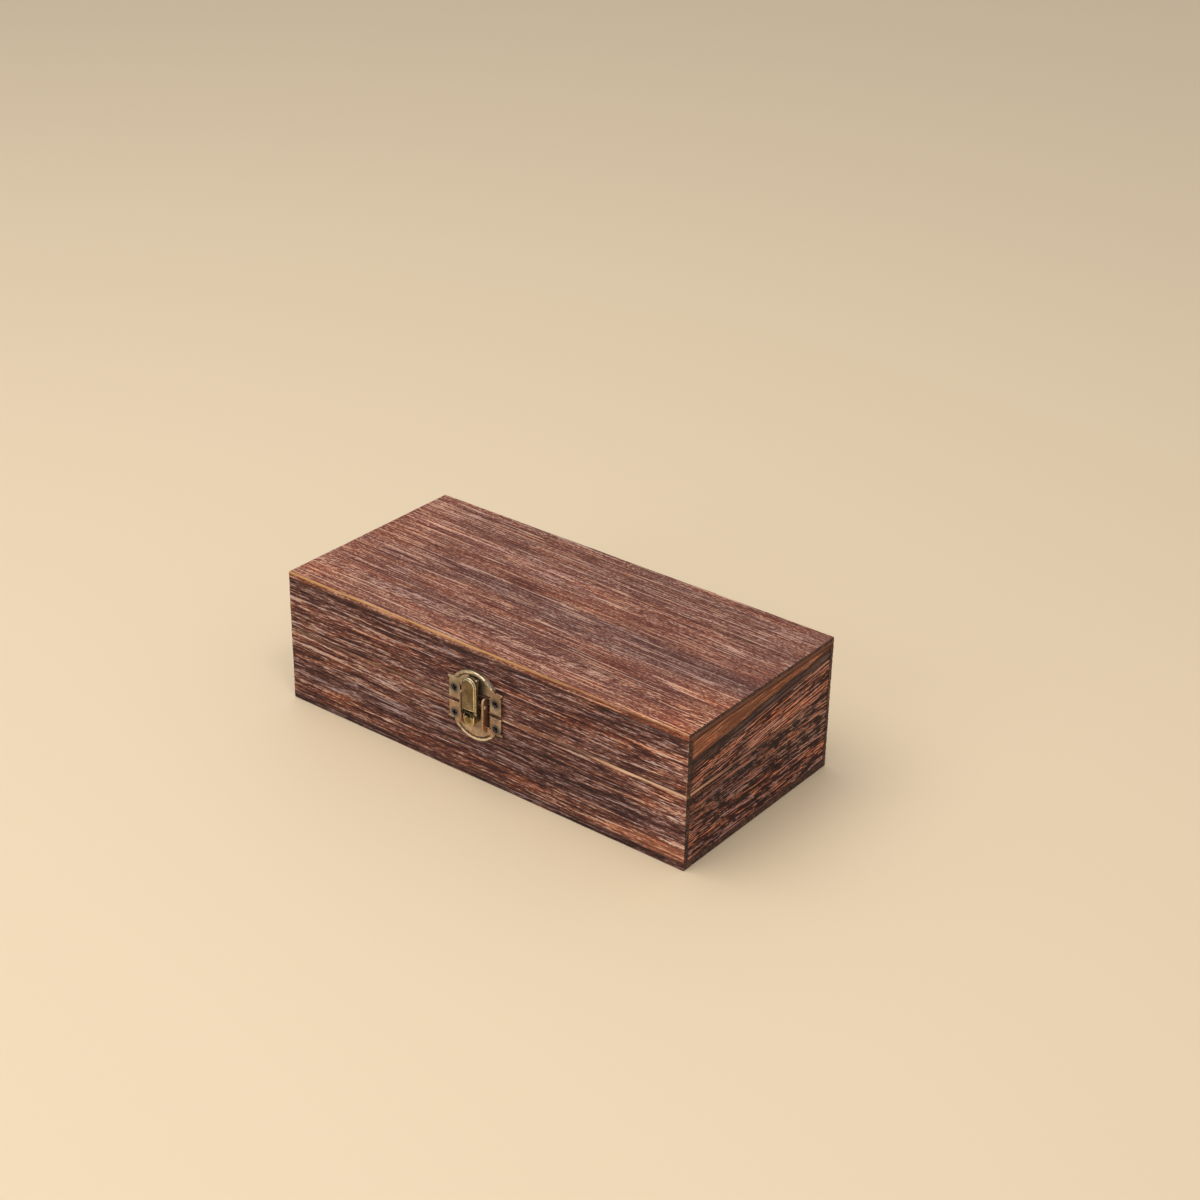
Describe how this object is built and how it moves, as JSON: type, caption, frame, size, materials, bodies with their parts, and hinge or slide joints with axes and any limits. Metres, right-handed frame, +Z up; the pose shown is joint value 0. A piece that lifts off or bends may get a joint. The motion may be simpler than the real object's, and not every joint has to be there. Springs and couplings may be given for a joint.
{
  "type": "hinged wooden storage box",
  "caption": "Flat rectangular wooden box with a hinged lid, a dark scorched-grain finish and a brass toggle latch, for paints, brushes or small craft parts.",
  "frame": {"origin": "centre of the underside of the closed box", "axes": "+X along the length to the right seen from the front, +Y from the latch at the front to the hinges at the back, +Z up"},
  "size_m": [0.205, 0.1069, 0.06],
  "materials": {
    "charred_wood": "scorched, wire-brushed and oiled, satin",
    "antique_brass": "antique bronze-brass plating, rubbed bright on the edges",
    "dark_screw": "dark oxidised steel"
  },
  "bodies": {
    "box": {"body_front_panel": "charred_wood", "body_back_panel": "charred_wood", "body_left_end_panel": "charred_wood", "body_right_end_panel": "charred_wood", "body_bottom_board": "charred_wood", "hinge_left_body_leaf": "antique_brass", "hinge_right_body_leaf": "antique_brass", "hinge_left_pin": "antique_brass", "hinge_right_pin": "antique_brass", "hinge_body_screws": "dark_screw", "latch_base_plate": "antique_brass", "latch_lever_pin": "antique_brass", "latch_base_screws": "dark_screw"},
    "lid": {"lid_front_panel": "charred_wood", "lid_back_panel": "charred_wood", "lid_left_end_panel": "charred_wood", "lid_right_end_panel": "charred_wood", "lid_top_board": "charred_wood", "hinge_left_lid_leaf": "antique_brass", "hinge_right_lid_leaf": "antique_brass", "hinge_lid_screws": "dark_screw", "latch_strike_plate": "antique_brass", "latch_strike_screws": "dark_screw"},
    "lever": {"latch_lever": "antique_brass", "latch_claw_pin": "antique_brass"},
    "claw": {"latch_claw": "antique_brass"}
  },
  "joints": [
    {"name": "lid_hinge", "type": "hinge", "parent": "box", "child": "lid", "pos_m": [0, 0.05055, 0.0336], "axis": [-1, 0, 0], "range_deg": [0, 180]},
    {"name": "latch_lever_pivot", "type": "hinge", "parent": "box", "child": "lever", "pos_m": [0, -0.0511, 0.0366], "axis": [-1, 0, 0], "range_deg": [0, 95]},
    {"name": "latch_claw_pivot", "type": "hinge", "parent": "lever", "child": "claw", "pos_m": [0, -0.053, 0.0324], "axis": [-1, 0, 0], "range_deg": [-105, 0]}
  ],
  "couplings": [
    {"joint": "latch_claw_pivot", "follows": "latch_lever_pivot", "ratio": -1.1}
  ]
}
